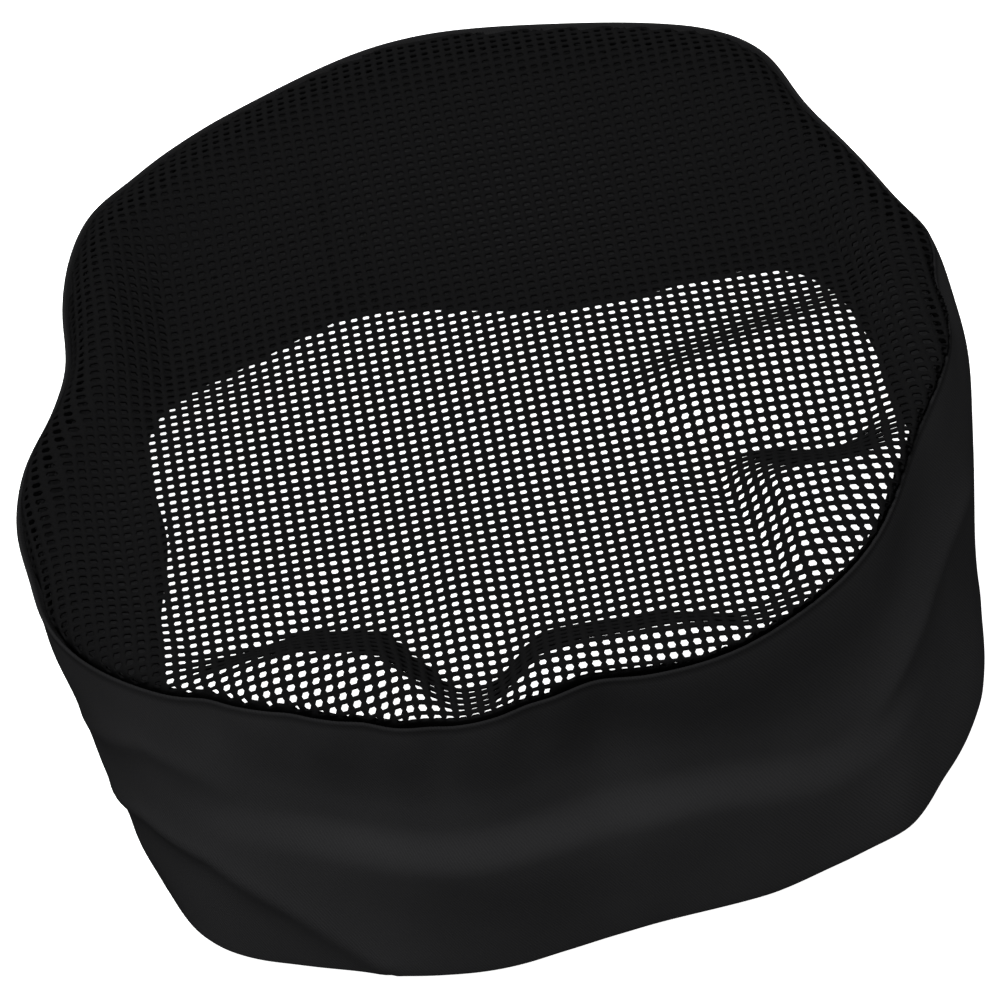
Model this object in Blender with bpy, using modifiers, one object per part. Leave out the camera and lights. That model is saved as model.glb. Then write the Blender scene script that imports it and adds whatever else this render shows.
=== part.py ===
"""Chef's skull cap: a low mesh-topped cap with a twill band folded double along its lower edge,
a slit at the back and a hook-and-loop tab that closes over it.

Frame: metres, +Z up, the rim of the band on z = 0, the front of the cap towards -Y and the
closure at the back, towards +Y. The origin is the centre of the bounding box, on z = 0.
"""
import math

import bmesh
import bpy
import numpy as np
from mathutils import Vector

MM = 0.001

# Band and crown. The cap stands by itself, so its two outlines are uneven: a radius in mm
# every 15 degrees, counter-clockwise from +X.
BAND_HEIGHT = 86 * MM
RIM_RADII = (
    97, 106, 111, 95, 87, 91, 99, 102, 107, 90, 85, 85,
    93, 105, 106, 98, 95, 89, 91, 98, 103, 101, 100, 98,
)
SEAM_RADII = (
    94, 95, 102, 99, 96, 97, 95, 96, 100, 96, 91, 98,
    105, 108, 103, 97, 96, 91, 94, 97, 97, 94, 97, 95,
)
STATIONS = 72
LEVELS = 4

# Cloths and threads
GAP = 0.3 * MM
TWILL = 0.5 * MM
INTERLINING = 0.4 * MM
BINDING = 0.4 * MM
MESH = 0.5 * MM
LABEL = 0.4 * MM
THREAD_RADIUS = 0.2 * MM

# Insets of the layers from the outer face of the band, outermost first
INTERLINING_AT = TWILL + GAP
INNER_PLY_AT = INTERLINING_AT + INTERLINING + GAP
BAND_INSIDE = INNER_PLY_AT + TWILL
BINDING_OUTER_AT = BAND_INSIDE + GAP
BAND_EDGE_AT = BINDING_OUTER_AT + BINDING + GAP
CROWN_EDGE_AT = BAND_EDGE_AT + TWILL + GAP
BINDING_INNER_AT = CROWN_EDGE_AT + MESH + GAP
BINDING_INSIDE = BINDING_INNER_AT + BINDING

# Crown seam, on the inside of the cap
SEAM_ALLOWANCE = 8 * MM
BINDING_TOP = BAND_HEIGHT - 4 * MM
SEAM_STITCH_Z = BAND_HEIGHT - 2 * MM
BINDING_STITCH_Z = BAND_HEIGHT - 5.5 * MM

# Crown: how far in from the band's outer face, and how high above the seam, the cloth runs
CROWN_PROFILE = ((4.6, 1.0), (7.0, 3.4), (10.0, 3.9), (15.0, 2.8), (24.0, 1.5))
CROWN_INNER_RINGS = (0.7, 0.4, 0.15)
CROWN_CENTRE_RISE = 1.0 * MM

# Back closure. Angles are counter-clockwise from +X, so a larger one is further to the left
# of somebody who looks from the front.
SLIT_ANGLE = 90.0
SLIT_WIDTH = 2 * MM
SLIT_HEIGHT = 55 * MM
BAR_TACK_SPAN = 5.0
BAR_TACK_HEIGHT = 1.6 * MM
STRIP = 0.9 * MM
STRIP_BOTTOM = 8 * MM
STRIP_TOP = 38 * MM
LOOP_ANGLES = (92.5, 117.5)
HOOK_ANGLES = (94.0, 116.0)
TAB_ANGLES = (84.0, 118.5)
TAB_RAMP_END = 92.0
TAB_BOTTOM = 1 * MM
TAB_TOP = 46 * MM
TAB_CORNER = 4 * MM
TAB_EDGE_PLY = 1 * MM
TAB_END_PLY = 1.0
TAB_INSIDE = GAP + STRIP + GAP + STRIP + GAP
TAB_THICKNESS = 2 * TWILL + 2 * GAP + INTERLINING
STITCH_MARGIN = 2.5 * MM
ROOT_STITCH_ANGLES = (85.0, 87.0)

# Care label, sewn to the seam binding inside the cap, left of the front
LABEL_ANGLES = (212.0, 226.0)
LABEL_BOTTOM = 54 * MM
LABEL_TOP = BAND_HEIGHT - 7 * MM
LABEL_STITCH_Z = BAND_HEIGHT - 8.2 * MM

COLOURS = {
    "twill": ((0.012, 0.012, 0.013), 0.85),
    "mesh": ((0.010, 0.010, 0.011), 0.8),
    "interlining": ((0.05, 0.05, 0.052), 0.9),
    "thread": ((0.014, 0.014, 0.016), 0.6),
    "hook_and_loop": ((0.016, 0.016, 0.017), 0.9),
    "label": ((0.03, 0.03, 0.032), 0.7),
}


def between(low, high, step):
    """The two ends with every multiple of the step that lies well between them.

    All layers bend on the same angles and heights, so that they stay parallel.
    """
    multiples = [k * step for k in range(math.floor(low / step) + 1, math.ceil(high / step))]
    inner = [value for value in multiples if min(value - low, high - value) > 0.05 * step]
    return [low, *inner, high]


def angles_between(low, high):
    return between(low, high, 360.0 / STATIONS)


def heights_between(low, high):
    return between(low, high, BAND_HEIGHT / LEVELS)


def radius_at(radii, degrees):
    """Radius in metres at an angle, on a smooth closed curve through evenly spaced radii."""
    place = (degrees % 360.0) / 360.0 * len(radii)
    i = int(place)
    t = place - i
    a, b, c, d = (radii[(i + k) % len(radii)] for k in (-1, 0, 1, 2))
    slope_in, slope_out = (c - a) / 2, (d - b) / 2
    rise = c - b
    bend = slope_in + slope_out - 2 * rise
    return (b + t * (slope_in + t * (rise - slope_in - bend + t * bend))) * MM


def on_band(degrees, z):
    """Point of the band's outer face at an angle and a height, before the cap is centred."""
    share = z / BAND_HEIGHT
    r = (1 - share) * radius_at(RIM_RADII, degrees) + share * radius_at(SEAM_RADII, degrees)
    turn = math.radians(degrees)
    return np.array((r * math.cos(turn), r * math.sin(turn)))


def outward(degrees, z):
    """Horizontal unit normal of the band's outer face."""
    along = on_band(degrees + 0.5, z) - on_band(degrees - 0.5, z)
    normal = np.array((along[1], -along[0]))
    return normal / np.linalg.norm(normal)


def tab_offset(degrees):
    """How far the inner face of the tab stands off the band: least at its root, more over the strips."""
    root = TAB_ANGLES[0]
    share = min(1.0, max(0.0, (degrees - root) / (TAB_RAMP_END - root)))
    return GAP + (TAB_INSIDE - GAP) * share * share * (3 - 2 * share)


def centre_offset():
    """Middle of the cap's outline in X and Y, with the tab counted in."""
    points = [on_band(360.0 * i / STATIONS, z) for i in range(STATIONS) for z in (0.0, BAND_HEIGHT)]
    for degrees in angles_between(*TAB_ANGLES):
        out = tab_offset(degrees) + TAB_THICKNESS
        points += [on_band(degrees, z) + outward(degrees, z) * out for z in (TAB_BOTTOM, TAB_TOP)]
    points = np.array(points)
    return (points.min(axis=0) + points.max(axis=0)) / 2


CENTRE = centre_offset()


def place(degrees, z, inset):
    """Point at an inset from the band's outer face (negative is outside), at height z."""
    level = min(z, BAND_HEIGHT)
    x, y = on_band(degrees, level) - outward(degrees, level) * inset - CENTRE
    return Vector((x, y, z))


def ring_angles():
    return [360.0 * i / STATIONS for i in range(STATIONS)]


def up(inset, low, high):
    """The (inset, z) points of a face that rises along the band."""
    return [(inset, z) for z in heights_between(low, high)]


def down(inset, high, low):
    return up(inset, low, high)[::-1]


def skin(loops, around, wrap):
    """Triangles between neighbouring loops of points, given as rows of vertex numbers.

    The diagonals all rise the same way along the band. wrap joins the last loop to the first.
    """
    pairs = list(zip(loops, loops[1:]))
    if wrap:
        pairs.append((loops[-1], loops[0]))
    faces = []
    for here, there in pairs:
        count = len(here)
        for j in range(count if around else count - 1):
            k = (j + 1) % count
            (a, za), (b, zb) = here[j], here[k]
            c, d = there[k][0], there[j][0]
            faces += [(a, d, c), (a, c, b)] if za <= zb else [(a, d, b), (d, c, b)]
    return faces


def start_scene(name):
    """Empty the file and return the collection for the parts and the one for the cutters."""
    for old in list(bpy.data.objects):
        bpy.data.objects.remove(old, do_unlink=True)
    collections = []
    for title in (name, name + "_cutters"):
        collection = bpy.data.collections.new(title)
        bpy.context.scene.collection.children.link(collection)
        collections.append(collection)
    return collections


def make_materials():
    made = {}
    for name, (colour, roughness) in COLOURS.items():
        material = bpy.data.materials.new(name)
        material.use_nodes = True
        shader = material.node_tree.nodes["Principled BSDF"]
        shader.inputs["Base Color"].default_value = (*colour, 1.0)
        shader.inputs["Roughness"].default_value = roughness
        shader.inputs["Metallic"].default_value = 0.0
        made[name] = material
    return made


def add_object(collection, name, mesh, material):
    mesh.materials.append(material)
    mesh.shade_smooth()
    mesh.set_sharp_from_angle(angle=math.radians(40))
    obj = bpy.data.objects.new(name, mesh)
    collection.objects.link(obj)
    return obj


def mesh_from(name, vertices, faces):
    mesh = bpy.data.meshes.new(name)
    mesh.from_pydata(vertices, [], faces)
    edit = bmesh.new()
    edit.from_mesh(mesh)
    bmesh.ops.recalc_face_normals(edit, faces=edit.faces)
    edit.to_mesh(mesh)
    edit.free()
    return mesh


def ring_of_section(collection, name, section, material):
    """A closed section of (inset, z) points carried all the way round the cap."""
    vertices, loops = [], []
    for degrees in ring_angles():
        loops.append([(len(vertices) + j, z) for j, (_inset, z) in enumerate(section)])
        vertices += [place(degrees, z, inset) for inset, z in section]
    faces = skin(loops, around=True, wrap=True)
    return add_object(collection, name, mesh_from(name, vertices, faces), material)


def patch(collection, name, angles, heights, inset_at, thickness, material):
    """A piece of cloth that lies along the band: an open sheet at an inset, made solid outwards."""
    vertices, loops = [], []
    levels = heights_between(*heights)
    for degrees in angles_between(*angles):
        loops.append([(len(vertices) + j, z) for j, z in enumerate(levels)])
        vertices += [place(degrees, z, inset_at(degrees)) for z in levels]
    mesh = bpy.data.meshes.new(name)
    mesh.from_pydata(vertices, [], skin(loops, around=False, wrap=False))
    obj = add_object(collection, name, mesh, material)
    out = outward((angles[0] + angles[1]) / 2, heights[0])
    normal = mesh.polygons[len(mesh.polygons) // 2].normal
    solid = obj.modifiers.new("thickness", "SOLIDIFY")
    solid.thickness = thickness
    solid.offset = 1.0 if normal.x * out[0] + normal.y * out[1] > 0 else -1.0
    return obj


def thread(collection, name, route, material, closed):
    """A line of sewing thread along a route of points."""
    curve = bpy.data.curves.new(name, "CURVE")
    curve.dimensions = "3D"
    curve.bevel_depth = THREAD_RADIUS
    curve.bevel_resolution = 0
    curve.use_fill_caps = True
    spline = curve.splines.new("POLY")
    spline.points.add(len(route) - 1)
    spline.use_cyclic_u = closed
    for point, at in zip(spline.points, route):
        point.co = (*at, 1.0)
    curve.materials.append(material)
    obj = bpy.data.objects.new(name, curve)
    collection.objects.link(obj)
    return obj


def cut(obj, cutter):
    modifier = obj.modifiers.new("slit", "BOOLEAN")
    modifier.operation = "DIFFERENCE"
    modifier.solver = "EXACT"
    modifier.object = cutter


def slit_cutter(collection):
    """The block that opens the back of the band from the rim up to the bar tack."""
    below = 5 * MM
    bpy.ops.mesh.primitive_cube_add(size=1.0)
    cutter = bpy.context.active_object
    cutter.name = "slit_cutter"
    for holder in list(cutter.users_collection):
        holder.objects.unlink(cutter)
    collection.objects.link(cutter)
    middle = place(SLIT_ANGLE, SLIT_HEIGHT / 2, BAND_INSIDE / 2)
    cutter.location = (middle.x, middle.y, (SLIT_HEIGHT - below) / 2)
    cutter.scale = (SLIT_WIDTH, 20 * MM, SLIT_HEIGHT + below)
    cutter.hide_render = True
    cutter.display_type = "WIRE"
    return cutter


def make_band(parts, materials, cutter):
    """The twill strip: inner ply, fold at the rim, outer ply, and its top edge turned in at the seam."""
    top, fold, corner = BAND_HEIGHT, TWILL, 0.3 * MM
    edge = BAND_EDGE_AT + TWILL
    section = (
        (corner, 0),
        *up(0, corner, top - corner),
        (corner, top),
        (edge - corner, top),
        (edge, top - corner),
        (edge, top - SEAM_ALLOWANCE),
        (BAND_EDGE_AT, top - SEAM_ALLOWANCE),
        (BAND_EDGE_AT, top - TWILL),
        *down(TWILL, top - TWILL, fold),
        *up(INNER_PLY_AT, fold, top - TWILL - GAP),
        *down(BAND_INSIDE, top - TWILL - GAP, corner),
        (BAND_INSIDE - corner, 0),
    )
    band = ring_of_section(parts, "band", section, materials["twill"])
    cut(band, cutter)


def make_interlining(parts, materials, cutter):
    low, high = TWILL + GAP, BAND_HEIGHT - TWILL - GAP
    section = (*up(INTERLINING_AT, low, high), *down(INTERLINING_AT + INTERLINING, high, low))
    lining = ring_of_section(parts, "band_interlining", section, materials["interlining"])
    cut(lining, cutter)


def make_crown(parts, materials):
    """The mesh panel: flat in the middle, puffed up near the seam, with its edge turned down inside."""
    middle = CROWN_EDGE_AT + MESH / 2
    rings = [(middle, BAND_HEIGHT - SEAM_ALLOWANCE), (middle, BAND_HEIGHT - 1 * MM)]
    rings += [(inset * MM, BAND_HEIGHT + rise * MM) for inset, rise in CROWN_PROFILE]
    vertices = [place(degrees, z, inset) for inset, z in rings for degrees in ring_angles()]
    centre = Vector((-CENTRE[0], -CENTRE[1], BAND_HEIGHT + CROWN_CENTRE_RISE))
    last = vertices[-STATIONS:]
    for share in CROWN_INNER_RINGS:
        vertices += [centre.lerp(point, share) for point in last]
    vertices.append(centre)
    count = len(rings) + len(CROWN_INNER_RINGS)
    faces = []
    for ring in range(count - 1):
        for i in range(STATIONS):
            after = (i + 1) % STATIONS
            low, high = ring * STATIONS, (ring + 1) * STATIONS
            faces.append((low + i, low + after, high + after, high + i))
    start, tip = (count - 1) * STATIONS, len(vertices) - 1
    faces += [(start + i, start + (i + 1) % STATIONS, tip) for i in range(STATIONS)]
    mesh = mesh_from("crown_mesh_panel", vertices, faces)
    crown = add_object(parts, "crown_mesh_panel", mesh, materials["mesh"])
    solid = crown.modifiers.new("thickness", "SOLIDIFY")
    solid.thickness = MESH
    solid.offset = 0.0


def make_seam_binding(parts, materials):
    """The tape folded round the raw edges of the band and the crown, open upwards."""
    base = BAND_HEIGHT - SEAM_ALLOWANCE - GAP - BINDING
    near, far = BINDING_OUTER_AT, BINDING_INSIDE
    section = (
        (near, base),
        (near, BINDING_TOP),
        (near + BINDING, BINDING_TOP),
        (near + BINDING, base + BINDING),
        (BINDING_INNER_AT, base + BINDING),
        (BINDING_INNER_AT, BINDING_TOP),
        (far, BINDING_TOP),
        (far, base),
    )
    ring_of_section(parts, "seam_binding", section, materials["twill"])


def make_seam_threads(parts, materials):
    off = GAP + THREAD_RADIUS
    crown_inside = CROWN_EDGE_AT + MESH + off
    for name, inset, z in (
        ("crown_seam_stitching", crown_inside, SEAM_STITCH_Z),
        ("binding_stitching", BINDING_INSIDE + off, BINDING_STITCH_Z),
    ):
        route = [place(degrees, z, inset) for degrees in ring_angles()]
        thread(parts, name, route, materials["thread"], closed=True)


def tab_loop(degrees, near, far, low, high):
    """Points round the tab's section at one angle, between two distances off the band."""
    levels = (low, (low + high) / 2, high)
    section = [(near, z) for z in levels] + [(far, z) for z in reversed(levels)]
    return [(place(degrees, z, -out), z) for out, z in section]


def make_tab(parts, materials, pivot):
    """The tab: two plies closed along three sides and open at the root, round its interlining."""
    angles = angles_between(*TAB_ANGLES)
    outer, inner = [], []
    for degrees in angles:
        near = tab_offset(degrees)
        far = near + TAB_THICKNESS
        end = TAB_CORNER if degrees == angles[-1] else 0.0
        outer.append(tab_loop(degrees, near, far, TAB_BOTTOM + end, TAB_TOP - end))
    for degrees in (*angles[:-1], TAB_ANGLES[1] - TAB_END_PLY):
        near = tab_offset(degrees) + TWILL
        far = near + TAB_THICKNESS - 2 * TWILL
        inner.append(tab_loop(degrees, near, far, TAB_BOTTOM + TAB_EDGE_PLY, TAB_TOP - TAB_EDGE_PLY))
    vertices, loops = [], []
    for loop in outer + inner:
        loops.append([(len(vertices) + j, z) for j, (_point, z) in enumerate(loop)])
        vertices += [point for point, _z in loop]
    count = len(outer)
    faces = skin(loops[:count], around=True, wrap=False) + skin(loops[count:], around=True, wrap=False)
    faces += skin([loops[0], loops[count]], around=True, wrap=False)
    for end in (loops[count - 1], loops[-1]):
        half = len(end) // 2
        faces += skin([end[:half], end[:half - 1:-1]], around=False, wrap=False)
    tab = add_object(parts, "closure_tab", mesh_from("closure_tab", vertices, faces), materials["twill"])
    hang(tab, pivot)

    margin = TAB_EDGE_PLY + GAP
    lining = patch(
        parts,
        "tab_interlining",
        (TAB_ANGLES[0], TAB_ANGLES[1] - 2 * TAB_END_PLY),
        (TAB_BOTTOM + margin, TAB_TOP - margin),
        lambda degrees: -tab_offset(degrees) - TWILL - GAP,
        INTERLINING,
        materials["interlining"],
    )
    hang(lining, pivot)


def make_pivot(parts):
    """The empty on the tab's hinge line, along the root edge of its inner face."""
    low = place(TAB_ANGLES[0], TAB_BOTTOM, -GAP)
    high = place(TAB_ANGLES[0], TAB_TOP, -GAP)
    pivot = bpy.data.objects.new("tab_pivot", None)
    pivot.location = (low + high) / 2
    pivot.empty_display_size = 20 * MM
    parts.objects.link(pivot)
    return pivot


def hang(obj, pivot):
    """Parent an object to the pivot without moving it."""
    obj.parent = pivot
    obj.location = -pivot.location


def make_strips(parts, materials, pivot):
    heights = (STRIP_BOTTOM, STRIP_TOP)
    cloth = materials["hook_and_loop"]
    patch(parts, "loop_strip", LOOP_ANGLES, heights, lambda _degrees: -GAP, STRIP, cloth)
    inner_face = -(GAP + STRIP + GAP)
    hook = patch(parts, "hook_strip", HOOK_ANGLES, heights, lambda _degrees: inner_face, STRIP, cloth)
    hang(hook, pivot)
    span = (SLIT_ANGLE - BAR_TACK_SPAN / 2, SLIT_ANGLE + BAR_TACK_SPAN / 2)
    low = SLIT_HEIGHT + 1 * MM
    tack_heights = (low, low + BAR_TACK_HEIGHT)
    patch(parts, "slit_bar_tack", span, tack_heights, lambda _degrees: -GAP, TWILL, materials["thread"])


def box_route(angles, heights, inset_at):
    """Corners and long sides of a sewn rectangle, as a closed line."""
    low, high = heights
    sweep = angles_between(*angles)
    along = [place(degrees, low, inset_at(degrees)) for degrees in sweep]
    back = [place(degrees, high, inset_at(degrees)) for degrees in reversed(sweep)]
    return along + back


def make_closure_threads(parts, materials, pivot):
    sewn = materials["thread"]
    off = GAP + THREAD_RADIUS
    heights = (STRIP_BOTTOM + STITCH_MARGIN, STRIP_TOP - STITCH_MARGIN)
    spare = 1.5

    def outside_tab(degrees):
        return -tab_offset(degrees) - TAB_THICKNESS - off

    def inside_band(_degrees):
        return BAND_INSIDE + off

    loop = box_route((LOOP_ANGLES[0] + spare, LOOP_ANGLES[1] - spare), heights, inside_band)
    thread(parts, "loop_strip_stitching", loop, sewn, closed=True)
    hook = box_route((HOOK_ANGLES[0] + spare, HOOK_ANGLES[1] - spare), heights, outside_tab)
    hang(thread(parts, "hook_strip_stitching", hook, sewn, closed=True), pivot)

    low, high = TAB_BOTTOM + STITCH_MARGIN, TAB_TOP - STITCH_MARGIN
    sweep = angles_between(TAB_ANGLES[0] + spare, TAB_ANGLES[1] - 1.2 * spare)
    edge = [place(degrees, low, outside_tab(degrees)) for degrees in sweep]
    edge += [place(degrees, high, outside_tab(degrees)) for degrees in reversed(sweep)]
    hang(thread(parts, "tab_edge_stitching", edge, sewn, closed=False), pivot)

    root = box_route(ROOT_STITCH_ANGLES, (low, high), inside_band)
    thread(parts, "tab_root_stitching", root, sewn, closed=True)


def make_label(parts, materials):
    inner_face = BINDING_INSIDE + GAP + LABEL
    heights = (LABEL_BOTTOM, LABEL_TOP)
    cloth = materials["label"]
    patch(parts, "care_label", LABEL_ANGLES, heights, lambda _degrees: inner_face, LABEL, cloth)
    off = inner_face + GAP + THREAD_RADIUS
    spare = 1.0
    sweep = angles_between(LABEL_ANGLES[0] + spare, LABEL_ANGLES[1] - spare)
    route = [place(degrees, LABEL_STITCH_Z, off) for degrees in sweep]
    thread(parts, "label_stitching", route, materials["thread"], closed=False)


def main():
    parts, cutters = start_scene("chef_skull_cap")
    materials = make_materials()
    cutter = slit_cutter(cutters)
    pivot = make_pivot(parts)
    make_band(parts, materials, cutter)
    make_interlining(parts, materials, cutter)
    make_crown(parts, materials)
    make_seam_binding(parts, materials)
    make_seam_threads(parts, materials)
    make_tab(parts, materials, pivot)
    make_strips(parts, materials, pivot)
    make_closure_threads(parts, materials, pivot)
    make_label(parts, materials)


main()
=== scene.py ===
"""Looks of the chef's skull cap: its cloths, seams and closure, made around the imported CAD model.

Lengths are in millimetres and angles in degrees, and meshes are scaled to metres as they are made.
A place on the band is an angle, a height and an inset. The angle runs counter-clockwise from +X,
so the front is at 270 and the closure at 90. The inset is measured inwards from the outer face.
"""

import math

import bmesh
import bpy
import numpy as np
from mathutils import Matrix, Vector


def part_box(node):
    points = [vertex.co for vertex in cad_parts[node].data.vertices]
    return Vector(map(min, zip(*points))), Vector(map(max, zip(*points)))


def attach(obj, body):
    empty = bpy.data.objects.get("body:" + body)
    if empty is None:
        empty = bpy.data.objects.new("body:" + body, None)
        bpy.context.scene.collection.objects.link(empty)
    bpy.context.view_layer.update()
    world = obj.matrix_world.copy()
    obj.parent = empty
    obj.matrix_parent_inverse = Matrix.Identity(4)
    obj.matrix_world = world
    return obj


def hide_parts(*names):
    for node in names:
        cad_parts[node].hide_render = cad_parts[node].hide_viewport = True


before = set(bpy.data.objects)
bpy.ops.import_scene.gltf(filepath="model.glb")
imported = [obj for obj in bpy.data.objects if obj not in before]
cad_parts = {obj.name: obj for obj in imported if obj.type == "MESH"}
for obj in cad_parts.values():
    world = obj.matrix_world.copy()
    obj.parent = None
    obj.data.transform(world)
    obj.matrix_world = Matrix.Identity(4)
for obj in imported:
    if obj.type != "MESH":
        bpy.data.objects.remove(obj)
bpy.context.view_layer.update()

MM = 0.001

# ------------------------ the cap's sizes, as in the CAD

# The two outlines: a radius every 15 degrees
BAND_HEIGHT = 86.0
RIM_RADII = (
    97, 106, 111, 95, 87, 91, 99, 102, 107, 90, 85, 85,
    93, 105, 106, 98, 95, 89, 91, 98, 103, 101, 100, 98,
)
SEAM_RADII = (
    94, 95, 102, 99, 96, 97, 95, 96, 100, 96, 91, 98,
    105, 108, 103, 97, 96, 91, 94, 97, 97, 94, 97, 95,
)
MM_PER_DEGREE = 1.72

# Cloth thicknesses
TWILL = 0.5
INTERLINING = 0.4
BINDING = 0.35
MESH = 0.65
LABEL = 0.4

# Insets of the middle of each layer
OUTER_PLY = 0.25
INTERLINING_AT = 1.0
INNER_PLY = 1.75
INNER_PLY_AT_SEAM = 0.95
BINDING_OUTER = 1.5
BAND_EDGE = 2.05
CROWN_AT_SEAM = 1.75
CROWN_EDGE = 2.75
BINDING_INNER = 3.3

# Closure at the back
SLIT_ANGLE = 90.0
SLIT_HALF_WIDTH = 0.03
SLIT_HEIGHT = 55.0
LOOP_ANGLES = (92.5, 117.5)
HOOK_ANGLES = (94.0, 116.0)
STRIP_HEIGHTS = (8.0, 38.0)
STRIP = 0.9
STRIP_CORNER = 1.5
CLEARANCE = 0.3
TAB_ANGLES = (84.0, 118.5)
TAB_HEIGHTS = (1.0, 46.0)
TAB_RAMP_END = 92.0
TAB_CORNER = 4.0
TAB_THICKNESS = 2.0
TAB_INSIDE = 3 * CLEARANCE + 2 * STRIP

# Care label
LABEL_ANGLES = (212.0, 226.0)
LABEL_HEIGHTS = (54.0, 79.0)
LABEL_CORNER = 0.8
LABEL_EDGE = 0.25

# ------------------------ how its cloth lies

# How far the cloth stands outside the CAD's outlines, by angle, along the rim and along the seam
RIM_KEYS = (
    (0, 0), (190, 0), (196, -0.3), (202, 1.4), (206, 1.6), (214, 0.6), (221, 1.3), (230, 1.9),
    (240, 0.9), (246, 0.8), (256, 2.3), (269, 2.6), (276, 2.8), (283, 1.8), (289, 2.0),
    (294, 3.4), (301, 1.0), (308, 2.0), (314, 2.6), (319, 1.6), (326, -0.4), (334, -1.3),
    (345, 0),
)
SEAM_KEYS = (
    (0, -0.4), (9, -0.3), (18, -1.2), (26, 0.2), (33, -0.6), (40, -1.2), (60, -0.9), (75, -1.9),
    (90, -1.2), (103, -0.9), (110, -1.9), (117, -3.0), (124, -0.8), (141, -0.3), (150, -1.9),
    (158, -1.9), (165, 0.2), (172, 1.1), (179, 2.0), (186, 3.1), (192, 1.6), (200, 0),
    (211, -1.4), (219, -1.2), (226, -0.2), (231, 0), (238, -0.8), (247, -0.8), (258, -0.3),
    (265, 0), (330, 0),
)
# Height over which the cloth goes back from either outline to the plain shape
OUTLINE_FADE = 45.0
# Folds of the band: points (angle, height, share of the rise) along the fold's line, the rise, and
# the widths of its flanks above and below
FOLDS = (
    (
        ((186, 27, 0), (190, 30, 1), (198, 37.5, 1), (207, 35, 1), (216, 21.5, 1), (225, 3, 0.8)),
        2.1, 9, 4,
    ),
    (
        ((184, 48, 0), (187, 51.5, 1), (201, 66, 1), (207, 62.5, 0.8), (212, 55.5, 0)),
        1.0, 7, 5,
    ),
    (
        ((331, 48, 0), (324, 49, 1), (309, 47, 1), (301, 44.5, 1), (295, 39, 0.8), (287, 32, 0)),
        1.8, 9, 7,
    ),
)
# Hollows and swellings of the band: angle, height, half width, half height, rise
DENTS = (
    (258, 68, 5, 17, -2.2), (210, 82, 3, 9, -0.9), (229, 80, 3, 9, -0.9), (306, 63, 14, 11, -2.2),
    (183, 84, 8, 8, -1.9), (340, 86, 6, 8, -1.5), (344, 60, 11, 16, 4.8), (348, 80, 7, 9, 2.3),
    (220, 72, 6, 10, 0.8), (245, 70, 7, 12, 0.8), (275, 70, 8, 14, 0.8), (150, 40, 14, 25, 0.8),
    (60, 45, 18, 20, -1.0), (232, 38, 16, 13, 1.4), (262, 36, 20, 13, 1.7),
    (286, 32, 12, 12, 0.6), (220, 78, 2.5, 8, -0.7), (237, 77, 2.5, 8, -0.6),
    (249, 78, 3, 8, -0.8), (20, 50, 14, 25, 1.0), (130, 30, 10, 20, -0.8), (192, 14, 7, 10, 2.1),
    (190, 42, 5, 7, 1.4), (187, 68, 8, 9, 0.2),
)
# The front stands upright from the seam down to this line, slants out there and drops to the rim
WAIST_KEYS = ((215, 48), (227, 42.5), (242, 44), (260, 41.5), (271, 43), (286, 30), (300, 34))
WAIST_DEPTH_KEYS = (
    (180, 0), (205, 0), (222, 2.6), (250, 3.2), (275, 3.0), (292, 2.0), (304, 0), (330, 0),
)
WAIST_WIDTH = 13.0
# Slow waves round the band: how many, phase and height. WAVE_TWIST of height shifts them a radian
BAND_WAVES = ((3, 0.3, 0.45), (5, 2.1, 0.35), (8, 4.0, 0.25), (13, 1.2, 0.15))
WAVE_TWIST = 25.0

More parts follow.
